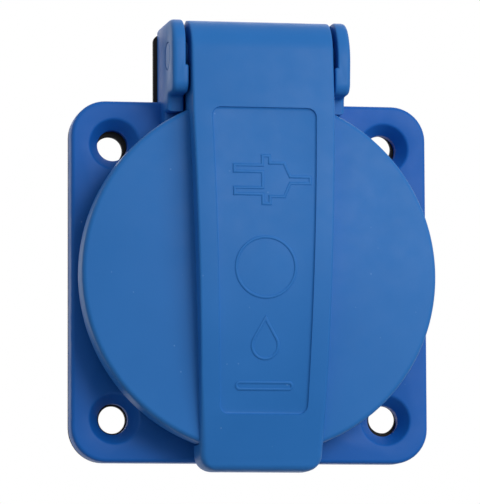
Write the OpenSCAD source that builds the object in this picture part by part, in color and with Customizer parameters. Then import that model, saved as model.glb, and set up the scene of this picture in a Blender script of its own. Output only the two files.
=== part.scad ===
// Earthed panel socket with a hinged lid that shuts by itself.
// Millimetres. X runs right, Y into the panel, Z up. The origin is on the plug's axis at the panel's face.
// Each piece is drawn lying on the panel: x right, y up the panel, z towards the user.
// stand() then sets it upright.

/* [Flange] */
// side of the square flange
flange_w = 50; // [46:0.5:60]
// thickness of the flange
flange_t = 3.3; // [2.6:0.1:5]
// radius of the flange's corners
flange_corner_r = 4.8; // [3:0.1:8]
// rounding of the flange's front edge
flange_edge_r = 0.4; // [0.3:0.1:1.2]
// spacing of the fixing holes
hole_pitch = 38; // [36:0.5:44]
// bore of a fixing hole
hole_d = 4.3; // [3.2:0.1:5]
// mouth of a fixing hole's countersink
sink_d = 7; // [5.6:0.1:8.4]
// thickness of the gasket behind the flange
gasket_t = 1; // [0.6:0.1:2]

/* [Plug well] */
// bore of the plug well
well_d = 39.2; // [38.6:0.1:40.4]
// depth of the plug well
well_depth = 17.5; // [16:0.5:19]
// wall of the plug well
well_wall = 1.7; // [1.3:0.1:2.2]
// height of the collar in front of the flange
collar_h = 4.7; // [4:0.1:6.5]
// thickness of the well's floor
floor_t = 2.4; // [1.8:0.1:3.2]
// spacing of the two pin holes
pin_pitch = 19; // [18.6:0.1:19.4]
// bore of a pin hole
pin_hole_d = 5.4; // [5.1:0.1:5.8]
// width of a guide rib at the well's side
rib_w = 5.2; // [4:0.1:5.4]
// height of a guide rib
rib_h = 2.8; // [1.5:0.1:3]

/* [Lid] */
// how far the lid's cap reaches out past the collar
lid_over = 3.3; // [2.8:0.1:4]
// depth of the cap's rim
lid_h = 4.7; // [3.6:0.1:5.6]
// thickness of the cap
lid_t = 2.1; // [1.9:0.1:3]
// rounding of the cap's front edge
lid_edge_r = 1.3; // [0.6:0.1:1.6]
// space between the collar and the cap, taken up by the seal
seal_t = 1.2; // [0.9:0.1:2]
// width of the seal's band
seal_w = 3.2; // [2:0.1:3.6]

/* [Strap] */
// width of the lid's strap at the hinge
strap_w = 19.7; // [16:0.1:22]
// width of the strap at the finger tab
strap_end_w = 16.8; // [13:0.1:19]
// height of the strap's bow over the cap
strap_rise = 4.4; // [3.6:0.1:6]
// radius of the strap's bow
strap_bow_r = 117; // [110:1:160]
// how far the finger tab reaches past the cap
tab_drop = 2; // [1.5:0.1:4]
// depth of the sunk panel on the strap
panel_sink = 0.4; // [0.3:0.05:0.7]

/* [Hinge] */
// diameter of the hinge pin
pin_d = 3.9; // [3:0.1:4]
// thickness of a hinge lug
lug_t = 1.8; // [1.6:0.1:3]
// side play between strap and lug
lug_gap = 0.75; // [0.5:0.05:1]
// wire of the closing spring
wire_d = 0.7; // [0.5:0.05:0.8]

/* [Rear] */
// free depth for the plug's pins behind the face of the floor
pin_reach = 19.9; // [19.2:0.1:22]
// thickness of the carrier's rear wall
rear_t = 2.1; // [1.9:0.1:3]
// side of a terminal block
block_w = 7; // [6.4:0.1:7.2]
// length of a terminal block
block_l = 8; // [7:0.1:9]
// bore for a wire
wire_hole_d = 3.2; // [2.6:0.1:3.6]
// thread of a terminal screw
screw_d = 3.4; // [3:0.1:3.6]
// thickness of the earth strap
earth_t = 0.8; // [0.6:0.1:1]
// width of the earth strap
earth_w = 6; // [5:0.1:6.2]
// thickness of a contact leaf
leaf_t = 0.7; // [0.5:0.05:0.8]

/* [Hidden] */
$fn = 96;
// run of a cut past the face it opens, bite of a joined piece, and a hair's breadth
over = 1;
bite = 0.5;
hair = 0.01;
// heights along the plug's axis, from the panel's face
front_z = gasket_t + flange_t;
collar_z = front_z + collar_h;
floor_z = collar_z - well_depth;
back_z = floor_z - floor_t;
skirt_h = 3;
skirt_z = back_z - skirt_h;
chamber_z = floor_z - pin_reach;
rear_z = chamber_z - rear_t;
// the well and the housing's small features
well_r = well_d / 2;
body_r = well_r + well_wall;
seal_r = (well_r + body_r) / 2;
collar_lip = 0.5;
rib_lead = 5.5;
pin_lead = 0.6;
boss_xy = 9.9;
boss_d = 5.4;
boss_h = 6;
boss_z = back_z - boss_h;
fix_d = 2.9;
fix_bite = 4.6;
// the cap
cap_wall = 1.7;
cap_r = body_r + lid_over;
cap_in_r = cap_r - cap_wall;
cap_in_z = collar_z + seal_t;
cap_z = cap_in_z + lid_t;
rim_z = cap_z - lid_h;
dome_h = 0.4;
// the seal's groove, the seal's side fit in it and the play left over the collar
groove_d = 0.8;
groove_z = cap_in_z + groove_d;
seal_fit = 0.05;
seal_play = 0.3;
// the hinge: its place, the lid's barrel and the housing's lugs
hinge_out = 6;
hinge_back = 2.6;
hinge_y = cap_r + hinge_out;
hinge_z = cap_z - hinge_back;
barrel_play = 0.45;
barrel_r = hinge_z - front_z - barrel_play;
pin_play = 0.05;
lug_in = strap_w / 2 + lug_gap;
lug_out = lug_in + lug_t;
lug_step = 0.4;
lug_over = 5.05;
lug_ahead = 4.45;
lug_below = 5.25;
lug_top = hinge_y + lug_over;
lug_front = hinge_z + lug_ahead;
lug_under = hinge_y - lug_below;
nose_r = 4.3;
chin_r = 1.5;
neck_gap = 0.6;
step_low = 1.7;
neck_y = sqrt(cap_r * cap_r - (lug_in - lug_step) * (lug_in - lug_step)) + neck_gap;
// the closing spring, its room in the lid and the ledge under its first leg
coil_turns = 7;
coil_play = 0.3;
coil_r = pin_d / 2 + coil_play + wire_d / 2;
chamber_play = 0.45;
chamber_r = coil_r + wire_d / 2 + chamber_play;
chamber_in = 4.85;
chamber_x = strap_w / 2 - chamber_in;
coil_in = 0.8;
coil_x = chamber_x - coil_in;
slot_low = 5.75;
slot_rise = 1.6;
ledge_low = 5.9;
ledge_y = hinge_y - ledge_low;
ledge_t = 1.6;
ledge_h = 1.7;
foot = [ledge_low - wire_d / 2 - 0.02, 4.5];
leg = [6.6, 0.3];
leg_run = sqrt(leg * leg - coil_r * coil_r);
leg_leave = atan2(-leg.x, leg.y) - acos(coil_r / norm(leg));
leg_play = 0.25;
// the strap: its bow, its taper and its finger tab
bow_y = 6;
bow_z = cap_z + strap_rise - strap_bow_r;
bow_from = 20;
taper_y = 22.5;
strap_end = -cap_r - tab_drop;
strap_slope = (strap_w - strap_end_w) / 2 / (taper_y - strap_end);
strap_skin = 2;
hollow_rim = 1.4;
hollow_side = 2.5;
tab_r = 1.1;
tab_low = 0.5;
tab_corner_r = 2.2;
// the strap's sunk panel and its raised signs
panel_r = 1.3;
panel_top = 23;
panel_low = strap_end + 7.7;
panel_in = 2.55;
sign_h = 0.22;
sign_line = 0.8;
plug_y = 13.15;
ring_y = 1;
ring_r = 4.3;
ring_line = 0.5;
drop_y = -10;
drop_r = 1.8;
drop_top = 3.8;
bar_y = -15.05;
bar_w = 7.6;
// the gasket
gasket_in = 0.05;
gasket_play = 0.3;
screw_play = 0.3;
tongue_side = 0.6;
tongue_under = 0.75;
tongue_r = 1;
// the carrier
spigot_r = well_r - 0.15;
carrier_gap = 0.2;
carrier_edge = 0.6;
rear_in = 2.7;
rear_r = body_r - rear_in;
rear_sink = 0.8;
rear_rim = 3;
rear_rib = 1.4;
block_gap = 0.6;
block_z = chamber_z + block_gap;
base_z = block_z + block_l;
pole_x = pin_pitch / 2;
pocket = 0.1;
room_x = 3.9;
room_y = 4.2;
access_d = screw_d + 2.8;
entry_d = wire_hole_d + 0.8;
// the contacts and their clips
leaf_in = 2.25;
leaf_side = 2.4;
leaf_flare = 0.5;
leaf_bow = 0.4;
mouth_z = back_z - 0.8;
grip_z = back_z - 2.6;
waist_z = back_z - 4.6;
root_z = back_z - 7.2;
foot_z = chamber_z + 1.4;
web_y = 2.9;
clip_t = 0.5;
clip_w = 1.6;
clip_r = 0.6;
// the terminals and their screws
block_y = web_y + leaf_t + block_w / 2;
head_gap = 0.4;
head_h = 1.7;
head_d = screw_d + 2;
head_slot = 0.8;
// the earth strap
earth_y = -11.2;
earth_run_y = well_r - earth_t;
earth_bend = 1.1;
earth_top = collar_z - 6.2;
hairpin_r = 1;
earth_slot = 2.2;
earth_play = 0.3;
// the carrier's screws
cross_d = 5.6;
cross_top_d = 5.2;
cross_h = 1.8;
cross_w = 3.2;
cross_slot = 0.8;
cross_sink = 0.6;
cross_pocket = 6.2;
seat_z = rear_z + cross_sink + cross_h;

// Turns a piece drawn lying on the panel upright.
module stand() {
  rotate([90, 0, 0]) children();
}

// Carries a side view, drawn as up the panel and towards the user, across the object from x0 to x1.
module across(x0, x1) {
  translate([x0, 0, 0]) rotate([90, 0, 90]) linear_extrude(x1 - x0) children();
}

// A pole's pieces are drawn on the line side. The neutral side is the same turned half round.
module neutral_side() {
  rotate(180) children();
}

// Sets a piece at both of the carrier's screws.
module at_bosses() {
  for (s = [-1, 1]) translate([s * boss_xy, s * boss_xy, 0]) children();
}

// Sets a piece at the three terminal screws.
module at_terminals() {
  for (p = [[-pole_x, block_y], [pole_x, -block_y], [0, earth_y]]) translate(p) children();
}

function unit(v) = v / norm(v);
function left_of(v) = [-v.y, v.x];
function side_at(p, i) =
  let (a = max(i, 1), b = min(i, len(p) - 2),
       n1 = left_of(unit(p[a] - p[a - 1])), n2 = left_of(unit(p[b + 1] - p[b])))
  (n1 + n2) / (1 + n1 * n2);
function arc(c, r, from, to, n) =
  [for (i = [0 : n]) c + r * [cos(from + (to - from) * i / n), sin(from + (to - from) * i / n)]];

// A strip of sheet seen from its edge: its middle line follows the points.
module ribbon(p, t) {
  last = len(p) - 1;
  polygon(concat([for (i = [0 : last]) p[i] + side_at(p, i) * t / 2],
                 [for (i = [0 : last]) p[last - i] - side_at(p, last - i) * t / 2]));
}

// Outline of a rectangle with round corners.
module round_rect(w, h, r) {
  square([w - 2 * r, h], center = true);
  square([w, h - 2 * r], center = true);
  for (x = [-1, 1], y = [-1, 1])
    translate([x * (w / 2 - r), y * (h / 2 - r)]) circle(r);
}

// Section of the flange's edge: its front corner is round.
module edge_section() {
  square([flange_corner_r, flange_t - flange_edge_r]);
  square([flange_corner_r - flange_edge_r, flange_t]);
  translate([flange_corner_r - flange_edge_r, flange_t - flange_edge_r]) circle(flange_edge_r);
}

// Flange plate: four round corners and four bars with the same edge section about a plain middle.
module flange_plate() {
  run = flange_w - 2 * flange_corner_r;
  translate([-run / 2, -run / 2, 0]) cube([run, run, flange_t]);
  for (a = [0 : 90 : 270]) rotate(a) {
    translate([run / 2, run / 2, 0]) rotate_extrude(angle = 90) edge_section();
    translate([run / 2, run / 2, 0]) rotate([90, 0, 0]) linear_extrude(run) edge_section();
  }
}

// Side view of a hinge lug: round nose, flat top, undercut and a neck down to the flange.
module lug_side() {
  intersection() {
    translate([lug_top - nose_r, lug_front - nose_r]) circle(nose_r);
    translate([lug_under, gasket_t]) square([lug_top - lug_under, lug_front - gasket_t]);
  }
  translate([lug_under + chin_r, lug_front - chin_r]) circle(chin_r);
  translate([lug_under, gasket_t]) square([lug_top - lug_under, lug_front - nose_r - gasket_t]);
  translate([lug_under, front_z]) square([chin_r, lug_front - chin_r - front_z]);
  translate([lug_under + chin_r, front_z])
    square([lug_top - nose_r - lug_under - chin_r, lug_front - front_z]);
  translate([neck_y, gasket_t]) square([lug_under - neck_y + bite, hinge_z - gasket_t]);
}

// The two lugs. Below the pin their inner faces stand in by a small step.
module lugs() {
  step_y = hinge_y - step_low;
  for (s = [0, 1]) mirror([s, 0, 0]) {
    across(lug_in, lug_out) lug_side();
    across(lug_in - lug_step, lug_in + lug_step) intersection() {
      lug_side();
      translate([neck_y, 0]) square([step_y - neck_y, lug_front]);
    }
  }
}

// Section of the well: collar, wall, floor and rear skirt.
module well_section() {
  polygon([[0, back_z], [well_r, back_z], [well_r, skirt_z], [body_r, skirt_z],
           [body_r, collar_z - collar_lip], [body_r - collar_lip, collar_z],
           [well_r + collar_lip, collar_z], [well_r, collar_z - collar_lip],
           [well_r, floor_z], [0, floor_z]]);
}

// Guide rib at one side of the well, with a sloped lead-in.
module guide_rib() {
  rib_z = collar_z - rib_lead;
  rotate([90, 0, 0]) translate([0, 0, -rib_w / 2]) linear_extrude(rib_w)
    polygon([[well_r + bite, floor_z - bite], [well_r - rib_h, floor_z - bite], [well_r - rib_h, rib_z],
             [well_r, rib_z + rib_h], [well_r + bite, rib_z + rib_h]]);
}

// Blue housing: flange, hinge lugs, collar, plug well and screw bosses in one moulding.
module socket_housing() {
  sink_h = (sink_d - hole_d) / 2;
  color([0.11, 0.34, 0.64]) stand() difference() {
    union() {
      difference() {
        union() {
          translate([0, 0, gasket_t]) flange_plate();
          translate([-lug_out, seal_r, gasket_t]) cube([2 * lug_out, lug_top - seal_r, flange_t]);
        }
        translate([0, 0, -over]) cylinder(r = seal_r, h = front_z + 2 * over);
      }
      lugs();
      translate([-chamber_x - over, ledge_y - ledge_t, front_z - bite])
        cube([2 * chamber_x + 2 * over, ledge_t, ledge_h + bite]);
      rotate_extrude() well_section();
      guide_rib();
      rotate(180) guide_rib();
      at_bosses() translate([0, 0, boss_z]) cylinder(d = boss_d, h = boss_h + bite);
    }
    for (x = [-1, 1], y = [-1, 1]) translate([x * hole_pitch / 2, y * hole_pitch / 2, 0]) {
      cylinder(d = hole_d, h = front_z + over);
      translate([0, 0, front_z - sink_h]) cylinder(d1 = hole_d, d2 = sink_d + 2 * over, h = sink_h + over);
    }
    for (s = [-1, 1]) {
      translate([s * pole_x, 0, back_z - over]) cylinder(d = pin_hole_d, h = floor_t + 2 * over);
      translate([s * pole_x, 0, floor_z - pin_lead])
        cylinder(d1 = pin_hole_d, d2 = pin_hole_d + 2 * (pin_lead + over), h = pin_lead + over);
      translate([0, s * (earth_run_y - earth_play / 2), back_z - over]) linear_extrude(floor_t + 2 * over)
        square([earth_w + 2 * earth_play, earth_slot], center = true);
    }
    at_bosses() translate([0, 0, boss_z - over]) cylinder(d = fix_d, h = fix_bite + bite + over);
    translate([-lug_out - over, hinge_y, hinge_z]) rotate([0, 90, 0])
      cylinder(d = pin_d, h = 2 * lug_out + 2 * over);
  }
}

// Black gasket under the flange, with a tongue behind the hinge.
module panel_gasket() {
  side = flange_w - 2 * gasket_in;
  tongue_w = 2 * (lug_out + tongue_side);
  tongue_end = lug_top - tongue_under;
  color([0.04, 0.04, 0.045]) stand() linear_extrude(gasket_t) difference() {
    union() {
      round_rect(side, side, flange_corner_r);
      translate([0, tongue_end / 2]) round_rect(tongue_w, tongue_end, tongue_r);
    }
    circle(body_r + gasket_play);
    for (x = [-1, 1], y = [-1, 1])
      translate([x * hole_pitch / 2, y * hole_pitch / 2]) circle(d = hole_d + screw_play);
  }
}

// Section of the cap: straight rim, round front edge and a slightly raised face.
module cap_section() {
  polygon([[0, rim_z], [cap_r, rim_z], [cap_r, cap_z - lid_edge_r], [cap_r - lid_edge_r, cap_z],
           [0, cap_z + dome_h]]);
  translate([cap_r - lid_edge_r, cap_z - lid_edge_r]) circle(lid_edge_r);
}

function strap_half(y) = strap_w / 2 - strap_slope * (taper_y - min(y, taper_y));
function bow_front(y) = bow_z + sqrt(strap_bow_r * strap_bow_r - (y - bow_y) * (y - bow_y));

// Plan of the strap: straight at the hinge, tapered below, with round corners at the tab.
module strap_plan() {
  r = tab_corner_r;
  y = strap_end + r;
  end = hinge_y + barrel_r + over;
  lean = sqrt(1 + strap_slope * strap_slope);
  cx = strap_half(y) - r * lean;
  tx = cx + r / lean;
  ty = y - r * strap_slope / lean;
  polygon([[-strap_w / 2, end], [strap_w / 2, end], [strap_w / 2, taper_y], [tx, ty],
           [cx, strap_end], [-cx, strap_end], [-tx, ty], [-strap_w / 2, taper_y]]);
  for (s = [-1, 1]) translate([s * cx, y]) circle(r);
}

// Side view of the strap: bowed front, straight run to the hinge barrel, and the finger tab.
module strap_side() {
  low = cap_z - lid_t / 2;
  bow_at = bow_front(bow_from) - hair;
  dy = hinge_y - bow_from;
  dz = bow_at - hinge_z;
  turn = atan2(dz, -dy) - acos(barrel_r / sqrt(dy * dy + dz * dz));
  touch = [hinge_y + barrel_r * cos(turn), hinge_z + barrel_r * sin(turn)];
  root_y = cap_r - cap_wall / 2;
  tab_z = rim_z - tab_low;
  tab_y = strap_end + tab_r;
  nose = bow_front(tab_y);
  intersection() {
    translate([bow_y, bow_z]) circle(strap_bow_r, $fn = 240);
    translate([tab_y, low]) square([bow_from - tab_y, lid_t + strap_rise]);
  }
  polygon([[bow_from - over, low], [bow_from - over, bow_at - bite], [bow_from, bow_at], touch,
           [hinge_y, hinge_z], [hinge_y - 0.8 * barrel_r, hinge_z - 0.6 * barrel_r], [root_y, rim_z],
           [root_y, low]]);
  translate([hinge_y, hinge_z]) circle(barrel_r);
  translate([tab_y, tab_z]) square([-well_r - tab_y, nose - tab_z - tab_r]);
  translate([strap_end, tab_z + tab_r]) square([tab_r + bite, nose - tab_z - 2 * tab_r]);
  translate([tab_y, tab_z + tab_r]) circle(tab_r);
  translate([tab_y, nose - tab_r]) circle(tab_r);
}

// Plan of the sunk panel, set in evenly from the strap's edges.
module panel_plan() {
  r = panel_r;
  polygon([for (c = [[1, panel_top - r, 0], [-1, panel_top - r, 90],
                     [-1, panel_low + r, 180], [1, panel_low + r, 270]])
    for (a = [0 : 15 : 90])
      [c[0] * (strap_half(c[1]) - panel_in - r) + r * cos(c[2] + a), c[1] + r * sin(c[2] + a)]]);
}

// Raised signs on the panel: a plug seen from the side, a ring, a drop and a bar.
module signs() {
  translate([0, plug_y]) {
    for (s = [-1, 1]) translate([-4.3, s * 1.55 - sign_line / 2]) square([4, sign_line]);
    translate([-0.5, -3.35]) square([0.9, 6.7]);
    translate([0.3, -2.15]) square([2.9, 4.3]);
    translate([3, -sign_line / 2]) square([3.2, sign_line]);
  }
  translate([0, ring_y]) difference() {
    circle(ring_r);
    circle(ring_r - ring_line);
  }
  translate([0, drop_y]) {
    circle(drop_r);
    polygon([[-0.87 * drop_r, drop_r / 2], [0, drop_top], [0.87 * drop_r, drop_r / 2]]);
  }
  translate([-bar_w / 2, bar_y - sign_line / 2]) square([bar_w, sign_line]);
}

// A drum under the bow's skin, used to cut and fill at an even depth below the strap's front.
module bow_drum(depth) {
  across(-strap_w, strap_w) translate([bow_y, bow_z]) circle(strap_bow_r - depth, $fn = 240);
}

// Blue lid: cap, strap, finger tab and hinge barrel in one moulding, hollow behind.
module hinged_lid() {
  seal_in = seal_r - seal_w / 2;
  bow_h = lid_t + strap_rise + over;
  color([0.11, 0.34, 0.64]) stand() {
    difference() {
      union() {
        rotate_extrude() cap_section();
        intersection() {
          translate([0, 0, front_z]) linear_extrude(cap_z + strap_rise) strap_plan();
          across(-strap_w, strap_w) strap_side();
        }
      }
      translate([0, 0, front_z]) cylinder(r = cap_in_r, h = cap_in_z - front_z);
      translate([0, 0, cap_in_z - over]) difference() {
        cylinder(r = seal_r + seal_w / 2, h = groove_d + over);
        translate([0, 0, -over]) cylinder(r = seal_in, h = groove_d + 3 * over);
      }
      intersection() {
        translate([0, 0, cap_in_z - over]) linear_extrude(bow_h + over) intersection() {
          circle(seal_in - hollow_rim);
          square([strap_end_w - 2 * hollow_side, 2 * cap_r], center = true);
        }
        bow_drum(panel_sink + strap_skin);
      }
      difference() {
        translate([0, 0, cap_z]) linear_extrude(bow_h) panel_plan();
        bow_drum(panel_sink);
      }
      translate([-strap_w, hinge_y, hinge_z]) rotate([0, 90, 0])
        cylinder(d = pin_d + 2 * pin_play, h = 2 * strap_w);
      across(-chamber_x, chamber_x) translate([hinge_y, hinge_z]) {
        circle(chamber_r);
        polygon([[0, 0], [barrel_r + over, -over], [barrel_r + over, -barrel_r - over],
                 [-slot_low, -barrel_r - over], [-slot_low, slot_rise], [-coil_r, slot_rise]]);
      }
      translate([coil_x, hinge_y + coil_r * sin(leg_leave), hinge_z + coil_r * cos(leg_leave)])
        rotate([270 - leg_leave, 0, 0]) cylinder(d = wire_d + 2 * leg_play, h = leg_run + bite);
    }
    intersection() {
      translate([0, 0, cap_z]) linear_extrude(bow_h) signs();
      difference() {
        bow_drum(panel_sink - sign_h);
        bow_drum(panel_sink + sign_h);
      }
    }
  }
}

// Black rubber ring pressed into the lid's groove. It meets the collar.
module lid_seal() {
  h = groove_z - collar_z - seal_play;
  color([0.05, 0.05, 0.055]) stand() translate([0, 0, collar_z + seal_play]) difference() {
    cylinder(r = seal_r + seal_w / 2 - seal_fit, h = h);
    translate([0, 0, -over]) cylinder(r = seal_r - seal_w / 2 + seal_fit, h = h + 2 * over);
  }
}

// Hinge pin, pressed flush through both lugs, with chamfered ends.
module hinge_pin() {
  c = 0.25;
  color([0.11, 0.34, 0.64]) stand() translate([0, hinge_y, hinge_z]) rotate([0, 90, 0]) rotate_extrude()
    polygon([[0, -lug_out], [pin_d / 2 - c, -lug_out], [pin_d / 2, c - lug_out], [pin_d / 2, lug_out - c],
             [pin_d / 2 - c, lug_out], [0, lug_out]]);
}

// Middle line of the spring's wire, from the leg on the ledge, round the pin, to the leg in the lid.
function spring_path() =
  let (start = atan2(-foot.x, -foot.y) + acos(coil_r / norm(foot)),
       end = leg_leave + coil_turns * 360,
       n = 150)
  concat([[-coil_x, -foot.x, -foot.y]],
         [for (i = [0 : n]) let (a = start + (end - start) * i / n)
           [-coil_x + 2 * coil_x * i / n, coil_r * sin(a), coil_r * cos(a)]],
         [[coil_x, -leg.x, leg.y]]);

// Wire of the closing spring as a tube of eight sides about its path.
module closing_spring() {
  p = spring_path();
  n = len(p);
  k = 8;
  rings = [for (i = [0 : n - 1])
    let (t = unit(p[min(i + 1, n - 1)] - p[max(i - 1, 0)]), u = unit(cross(t, [1, 0, 0])), v = cross(u, t))
    for (j = [0 : k - 1]) p[i] + wire_d / 2 * (cos(j * 360 / k) * u + sin(j * 360 / k) * v)];
  sides = [for (i = [0 : n - 2], j = [0 : k - 1])
    [i * k + j, i * k + (j + 1) % k, (i + 1) * k + (j + 1) % k, (i + 1) * k + j]];
  color([0.72, 0.73, 0.75]) stand() translate([0, hinge_y, hinge_z])
    polyhedron(rings, concat([[for (j = [0 : k - 1]) k - 1 - j]], sides,
                             [[for (j = [0 : k - 1]) (n - 1) * k + j]]));
}

// Room for one pole's contact and terminal block, open to the front.
module pole_room() {
  deep = back_z - chamber_z + over;
  translate([-pole_x - room_x, -room_y, chamber_z])
    cube([2 * room_x, room_y + web_y + leaf_t + pocket, deep]);
  translate([-pole_x - block_w / 2 - pocket, 0, chamber_z])
    cube([block_w + 2 * pocket, block_y + block_w / 2 + pocket, deep]);
  translate([-body_r - over, block_y, block_z + block_l / 2]) rotate([0, 90, 0])
    cylinder(d = entry_d, h = body_r + over - pole_x);
}

// The carrier's rear is sunk between its rim, the collars round the screws and two barriers.
module rear_pocket() {
  translate([0, 0, rear_z - over]) linear_extrude(rear_sink + over) difference() {
    circle(rear_r - rear_rim);
    at_terminals() circle(d = access_d + 2 * rear_rib);
    at_bosses() circle(d = cross_pocket + 2 * rear_rib);
    for (a = [20, 110]) rotate(a) square([2 * rear_r, rear_rib], center = true);
  }
}

// Black carrier behind the floor: rooms for the live parts, the earth strap and the screws.
module contact_carrier() {
  seam_z = skirt_z - carrier_gap;
  cross_room = earth_run_y + earth_t / 2 + pocket;
  color([0.06, 0.06, 0.065]) stand() difference() {
    union() {
      translate([0, 0, seam_z - bite]) cylinder(r = spigot_r, h = back_z - seam_z + bite);
      rotate_extrude() polygon([[0, rear_z], [rear_r - carrier_edge, rear_z], [rear_r, rear_z + carrier_edge],
                                [body_r, seam_z], [0, seam_z]]);
    }
    pole_room();
    neutral_side() pole_room();
    translate([-earth_w / 2 - earth_play, -cross_room, base_z])
      cube([earth_w + 2 * earth_play, 2 * cross_room, back_z - base_z + over]);
    translate([-block_w / 2 - pocket, earth_y - block_w / 2 - pocket, chamber_z])
      cube([block_w + 2 * pocket, block_w + 2 * pocket, block_l + block_gap + over]);
    translate([0, earth_y, block_z + block_l / 2]) rotate([90, 0, 0])
      cylinder(d = entry_d, h = body_r + over + earth_y);
    at_terminals() translate([0, 0, rear_z - over]) cylinder(d = access_d, h = rear_t + 2 * over);
    at_bosses() {
      translate([0, 0, boss_z - carrier_gap]) cylinder(d = boss_d + 2 * carrier_gap, h = boss_h + over);
      translate([0, 0, rear_z - over]) cylinder(d = fix_d + 2 * carrier_gap, h = back_z - rear_z);
      translate([0, 0, rear_z - over]) cylinder(d = cross_pocket, h = seat_z - rear_z + over);
    }
    rear_pocket();
  }
}

// Edge view of one contact leaf: flared mouth, grip and straight root.
function leaf_line(s) =
  let (m = leaf_in + leaf_t / 2)
  [[s * (m + leaf_flare), mouth_z], [s * m, grip_z], [s * m, waist_z],
   [s * (m + leaf_bow), root_z], [s * (m + leaf_bow), foot_z]];

// Bronze fork: two leaves about the plug pin, joined by a web under the terminal block.
module contact_fork() {
  root = leaf_in + leaf_t + leaf_bow;
  translate([-pole_x, 0, 0]) {
    for (s = [-1, 1]) translate([0, web_y + leaf_t, 0]) rotate([90, 0, 0])
      linear_extrude(web_y + leaf_t + leaf_side) ribbon(leaf_line(s), leaf_t);
    translate([-root, web_y, foot_z]) cube([2 * root, leaf_t, base_z - chamber_z]);
  }
}

module line_contact() {
  color([0.72, 0.47, 0.24]) stand() contact_fork();
}

module neutral_contact() {
  color([0.72, 0.47, 0.24]) stand() neutral_side() contact_fork();
}

// Steel clip that hugs the fork's grip from the open side.
module grip_clip() {
  x = leaf_in + leaf_t + clip_t / 2;
  y = leaf_side + carrier_gap;
  translate([-pole_x, 0, waist_z + carrier_gap]) linear_extrude(clip_w)
    ribbon(concat([[x, leaf_side]], arc([x - clip_r, -y], clip_r, 0, -90, 4),
                  arc([clip_r - x, -y], clip_r, -90, -180, 4), [[-x, leaf_side]]), clip_t);
}

module line_contact_clip() {
  color([0.62, 0.63, 0.65]) stand() grip_clip();
}

module neutral_contact_clip() {
  color([0.62, 0.63, 0.65]) stand() neutral_side() grip_clip();
}

// Brass block with a cross bore for the wire and a thread for the clamping screw.
module terminal_block() {
  difference() {
    translate([-block_w / 2, -block_w / 2, block_z]) cube([block_w, block_w, block_l]);
    translate([-block_w, 0, block_z + block_l / 2]) rotate([0, 90, 0])
      cylinder(d = wire_hole_d, h = 2 * block_w);
    translate([0, 0, block_z - over]) cylinder(d = screw_d, h = block_l / 2 + over);
  }
}

module line_terminal() {
  color([0.80, 0.62, 0.28]) stand() translate([-pole_x, block_y, 0]) terminal_block();
}

module neutral_terminal() {
  color([0.80, 0.62, 0.28]) stand() translate([pole_x, -block_y, 0]) terminal_block();
}

module earth_terminal() {
  color([0.80, 0.62, 0.28]) stand() translate([0, earth_y, 0]) rotate(90) terminal_block();
}

// Clamping screw with a slotted cheese head, run in as far as the wire bore.
module clamp_screw() {
  head_z = block_z - head_gap;
  difference() {
    union() {
      translate([0, 0, head_z - bite])
        cylinder(d = screw_d, h = block_l / 2 - wire_hole_d / 2 + 2 * head_gap + 2 * bite);
      translate([0, 0, head_z - head_h]) cylinder(d = head_d, h = head_h);
    }
    translate([-head_d, -head_slot / 2, head_z - head_h - over])
      cube([2 * head_d, head_slot, head_h / 2 + over]);
  }
}

module line_screw() {
  color([0.70, 0.71, 0.73]) stand() translate([-pole_x, block_y, 0]) rotate(25) clamp_screw();
}

module neutral_screw() {
  color([0.70, 0.71, 0.73]) stand() translate([pole_x, -block_y, 0]) rotate(110) clamp_screw();
}

module earth_screw() {
  color([0.70, 0.71, 0.73]) stand() translate([0, earth_y, 0]) rotate(65) clamp_screw();
}

// Edge view of the upper half of the earth strap: base, run along the well's wall and hairpin clip.
function earth_line() =
  let (y = earth_run_y, z = base_z + earth_t / 2, top = earth_top, r = hairpin_r, bend = earth_bend)
  concat([[0, z]], arc([y - bend, z + bend], bend, -90, 0, 4), arc([y - r, top], r, 0, 150, 7),
         [[y - 3 * r, top - 4.2 * r], [y - 2.9 * r, top - 5.6 * r], [y - 1.9 * r, top - 8 * r]]);

// Plated earth strap: a deep U whose two ends are spring clips inside the well.
module earth_bracket() {
  upper = earth_line();
  n = len(upper);
  lower = [for (i = [1 : n - 1]) [-upper[n - i].x, upper[n - i].y]];
  color([0.78, 0.76, 0.70]) stand() across(-earth_w / 2, earth_w / 2) ribbon(concat(lower, upper), earth_t);
}

// Self-cutting screw that holds the carrier to the housing, with a cross slot.
module carrier_screw() {
  difference() {
    union() {
      translate([0, 0, seat_z - bite]) cylinder(d = fix_d, h = boss_z + fix_bite - seat_z + bite);
      translate([0, 0, rear_z + cross_sink]) cylinder(d1 = cross_top_d, d2 = cross_d, h = cross_h);
    }
    for (a = [0, 90]) rotate(a) translate([-cross_w / 2, -cross_slot / 2, rear_z])
      cube([cross_w, cross_slot, cross_sink + cross_h / 2]);
  }
}

module carrier_screw_upper() {
  color([0.66, 0.67, 0.70]) stand() translate([boss_xy, boss_xy, 0]) rotate(20) carrier_screw();
}

module carrier_screw_lower() {
  color([0.66, 0.67, 0.70]) stand() translate([-boss_xy, -boss_xy, 0]) rotate(50) carrier_screw();
}

socket_housing();
panel_gasket();
hinged_lid();
lid_seal();
hinge_pin();
closing_spring();
contact_carrier();
line_contact();
neutral_contact();
line_contact_clip();
neutral_contact_clip();
line_terminal();
neutral_terminal();
earth_terminal();
line_screw();
neutral_screw();
earth_screw();
earth_bracket();
carrier_screw_upper();
carrier_screw_lower();
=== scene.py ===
"""Blue panel socket with a hinged lid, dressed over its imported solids. Metres, in the part's own frame.

Pieces are drawn in millimetres as they lie on the panel, x right, y up and z towards the user,
and are then set upright, so that a drawn point (x, y, z) stands at (x, -z, y).
"""
import math

import bmesh
import bpy
import numpy as np
from mathutils import Matrix, Vector
from mathutils.geometry import delaunay_2d_cdt


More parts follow.
